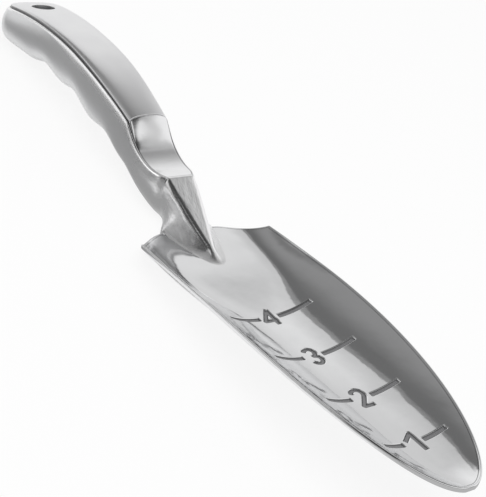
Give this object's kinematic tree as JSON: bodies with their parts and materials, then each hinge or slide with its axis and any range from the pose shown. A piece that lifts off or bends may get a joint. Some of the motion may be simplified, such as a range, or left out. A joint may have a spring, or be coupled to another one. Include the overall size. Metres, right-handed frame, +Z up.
{
  "type": "hand trowel",
  "caption": "Hand trowel with a dished, depth-marked blade riveted to a cast handle with finger grooves, inlaid grip panel, thumb rest and hang hole.",
  "frame": {"origin": "middle of the footprint on the surface that the trowel rests on", "axes": "+X along the trowel towards the blade's tip, +Z up out of the dish, +Y across the blade"},
  "size_m": [0.3086, 0.06, 0.0297],
  "materials": {
    "blade": "mirror polished",
    "handle_body": "satin cast",
    "grip_panel": "satin polished",
    "thumb_rest": "polished",
    "foot_rivets": "ground flush",
    "locating_dowels": "plain"
  },
  "bodies": {
    "root": {"blade": "blade", "handle_body": "handle_body", "grip_panel": "grip_panel", "thumb_rest": "thumb_rest", "foot_rivets": "foot_rivets", "locating_dowels": "locating_dowels"}
  },
  "joints": []
}
